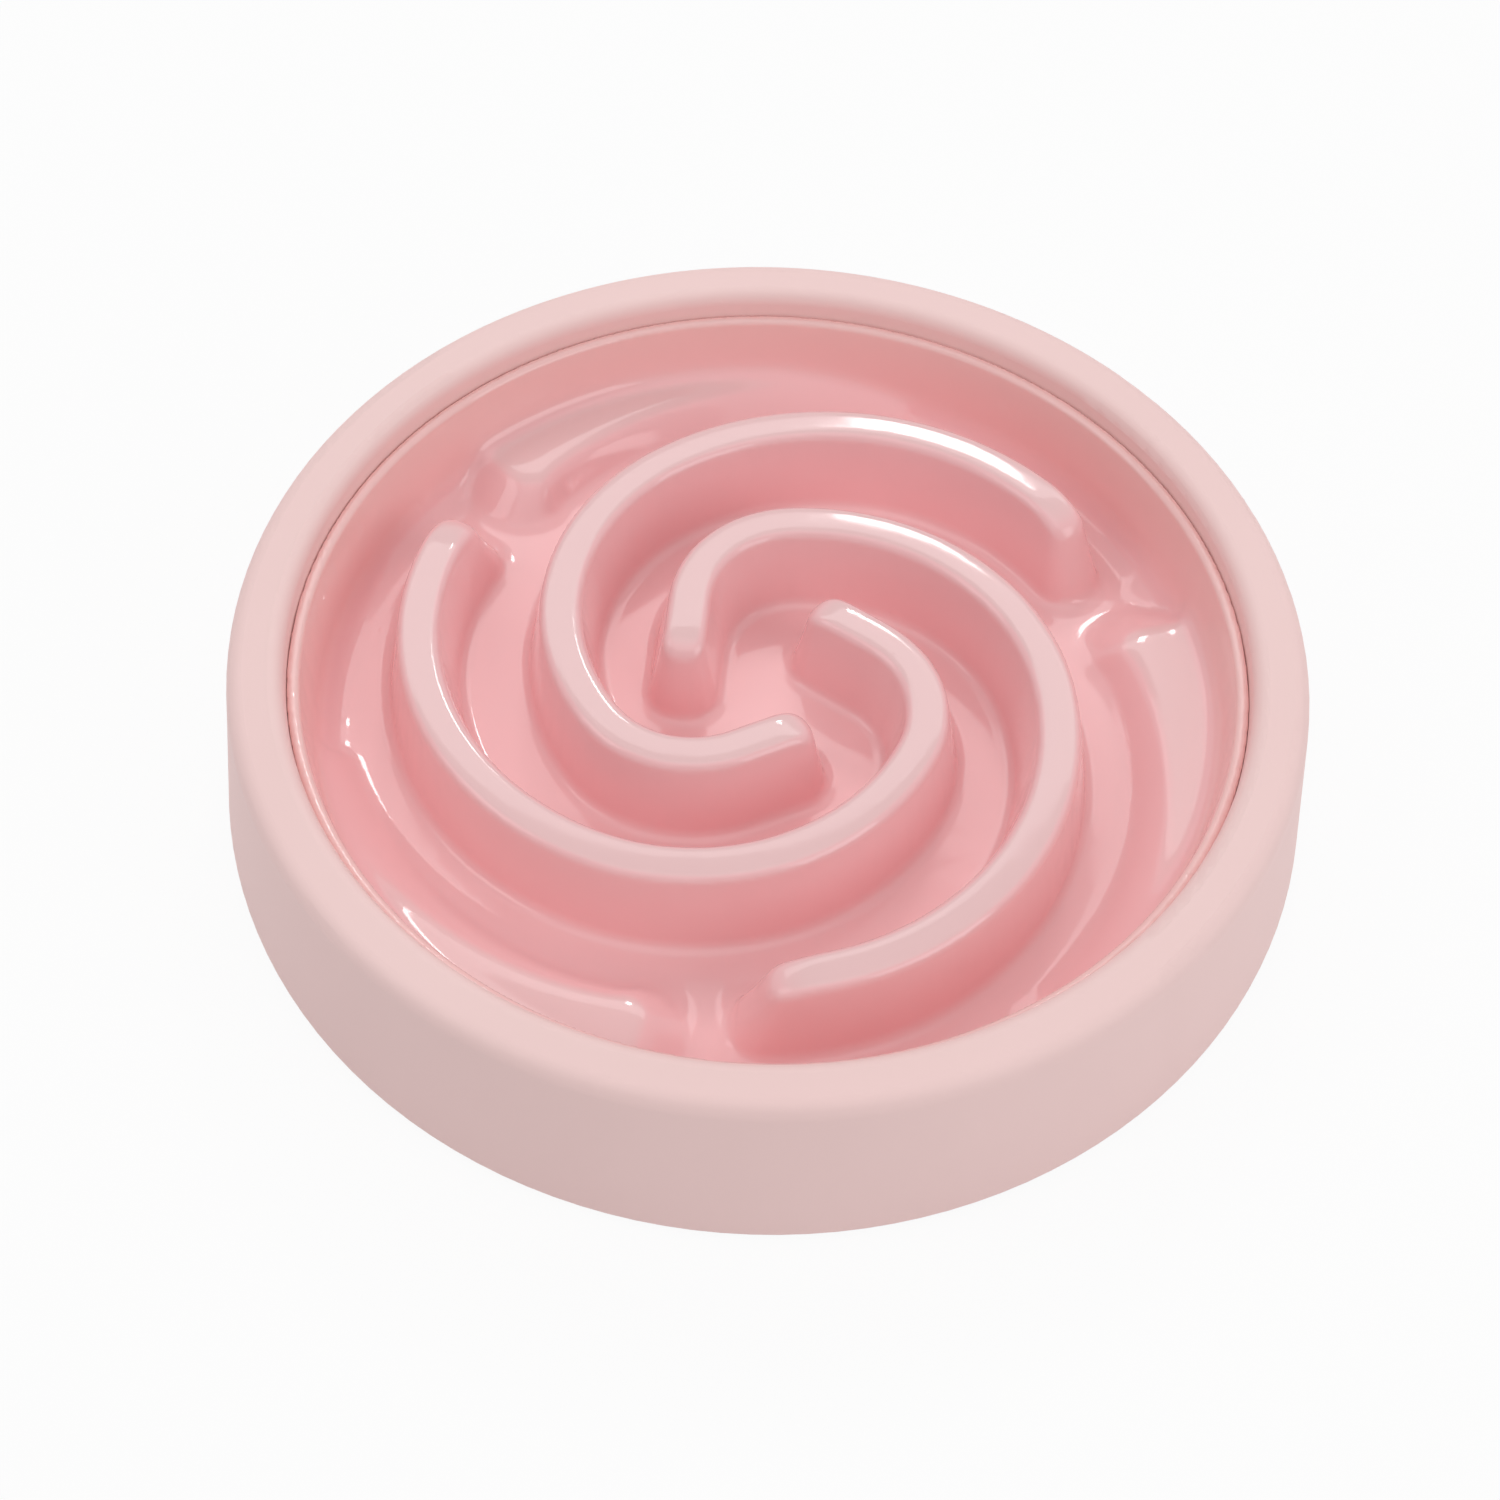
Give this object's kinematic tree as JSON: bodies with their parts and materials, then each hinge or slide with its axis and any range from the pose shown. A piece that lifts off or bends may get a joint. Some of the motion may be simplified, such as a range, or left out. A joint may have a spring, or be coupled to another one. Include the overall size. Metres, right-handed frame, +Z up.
{
  "type": "slow feeder bowl",
  "caption": "Round slow feeder bowl: a matte outer bowl on rubber feet holding a lift-out glossy dish whose spiral ridges and wall ledges slow a pet's eating.",
  "frame": {"origin": "on the table, under the middle of the bowl", "axes": "+Z up along the bowl's axis; -Y towards the camera of the picture"},
  "size_m": [0.1994, 0.1994, 0.0351],
  "materials": {
    "outer_bowl": "fine matte",
    "feeder_insert": "glossy",
    "rubber_feet": "matte"
  },
  "bodies": {
    "bowl": {"outer_bowl": "outer_bowl", "rubber_foot_1": "rubber_feet", "rubber_foot_2": "rubber_feet", "rubber_foot_3": "rubber_feet", "rubber_foot_4": "rubber_feet", "rubber_foot_5": "rubber_feet", "rubber_foot_6": "rubber_feet"},
    "insert": {"feeder_insert": "feeder_insert"}
  },
  "joints": [
    {"name": "insert_lift", "type": "slide", "parent": "bowl", "child": "insert", "axis": [0, 0, 1], "range_m": [0, 0.045]}
  ]
}
